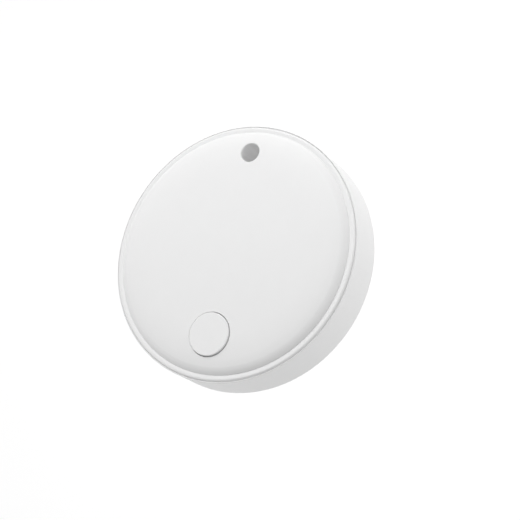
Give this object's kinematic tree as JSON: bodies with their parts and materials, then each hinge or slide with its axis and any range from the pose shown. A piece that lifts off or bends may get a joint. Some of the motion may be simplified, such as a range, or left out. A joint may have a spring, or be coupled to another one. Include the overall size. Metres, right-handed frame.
{
  "type": "bluetooth tracker tag",
  "caption": "Round coin-shaped tracker tag with a domed front, a flush push button, a lanyard hole through it and a coin-cell door in its rear face.",
  "frame": {"origin": "centre of the flat rear face, at its lowest level, so the tag lies on the XY plane", "axes": "+Z out of the domed front face, +Y towards the lanyard hole, so the button lies towards -Y"},
  "size_m": [0.0394, 0.0394, 0.008],
  "materials": {
    "case_plastic": "satin",
    "button_plastic": "satin",
    "seal_rubber": "matte",
    "silicone": "matte",
    "frame_plastic": "matte",
    "switch_plastic": "matte",
    "steel_sheet": "satin",
    "board": "semi-gloss solder mask",
    "screw_steel": "zinc",
    "chip_epoxy": "matte",
    "crystal_can": "satin",
    "antenna_ceramic": "matte",
    "capacitor_ceramic": "matte",
    "resistor_body": "matte",
    "ferrite": "matte",
    "adhesive": "matte",
    "brass_sheet": "satin",
    "piezo_silver": "matte",
    "gold_spring": "gold plated",
    "cell_steel": "satin nickel",
    "cell_fill": "matte",
    "cell_seal": "matte"
  },
  "bodies": {
    "case": {"rear_shell": "case_plastic", "front_cover": "case_plastic", "case_gasket": "seal_rubber", "inner_frame": "frame_plastic", "button_return_ring": "silicone", "switch_base": "switch_plastic", "switch_dome": "steel_sheet", "switch_cover": "steel_sheet", "pcb": "board", "pcb_screws": "screw_steel", "bluetooth_chip": "chip_epoxy", "crystal": "crystal_can", "chip_antenna": "antenna_ceramic", "smd_capacitors": "capacitor_ceramic", "smd_resistors": "resistor_body", "smd_inductor": "ferrite", "piezo_adhesive": "adhesive", "piezo_plate": "brass_sheet", "piezo_ceramic": "piezo_silver", "piezo_contacts": "gold_spring", "battery_can": "cell_steel", "battery_cap": "cell_steel", "battery_electrodes": "cell_fill", "battery_gasket": "cell_seal", "positive_contact": "gold_spring", "negative_contact": "gold_spring"},
    "button": {"button_cap": "button_plastic", "switch_plunger": "switch_plastic"},
    "door": {"battery_door": "case_plastic", "door_gasket": "seal_rubber"}
  },
  "joints": [
    {"name": "button_press", "type": "slide", "parent": "case", "child": "button", "axis": [0, 0, -1], "range_m": [0, 0.0002], "stiffness_N_per_m": 500, "deforming": ["button_return_ring", "switch_dome"]},
    {"name": "door_turn", "type": "hinge", "parent": "case", "child": "door", "pos_m": [0, 0, 0.0005], "axis": [0, 0, -1], "range_deg": [0, 45]}
  ]
}
